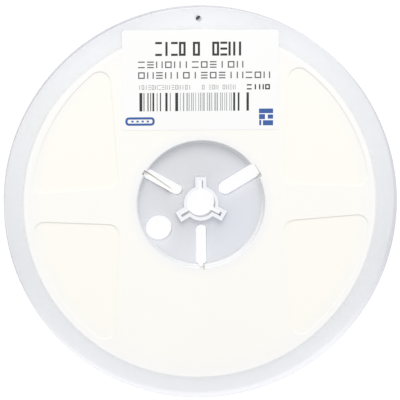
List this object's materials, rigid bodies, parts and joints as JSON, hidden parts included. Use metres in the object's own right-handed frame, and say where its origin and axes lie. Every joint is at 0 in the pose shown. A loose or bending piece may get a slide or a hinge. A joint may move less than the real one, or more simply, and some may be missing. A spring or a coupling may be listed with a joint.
{
  "type": "smd tape reel",
  "caption": "Flat two-flange plastic reel, wound full of paper carrier tape for surface-mount parts, with a keyed spindle bore and a paper label.",
  "frame": {"origin": "on the axis of the spindle bore, in the outer face of the rear flange, which is also the middle of the bounding box's bottom", "axes": "+Z along the spindle bore, from the rear flange to the labelled front flange; +Y from the bore towards the label; +X to the right when the label is seen upright"},
  "size_m": [0.178, 0.178, 0.0115],
  "materials": {
    "milky_plastic": "satin, milky translucent polystyrene",
    "carrier_paper": "matt cream card",
    "cover_film": "clear film",
    "tab_paper": "matt adhesive paper",
    "label_paper": null
  },
  "bodies": {
    "root": {"rear_half": "milky_plastic", "front_half": "milky_plastic", "tape_roll": "carrier_paper", "cover_tape": "cover_film", "end_tab": "tab_paper", "label": "label_paper"}
  },
  "joints": []
}
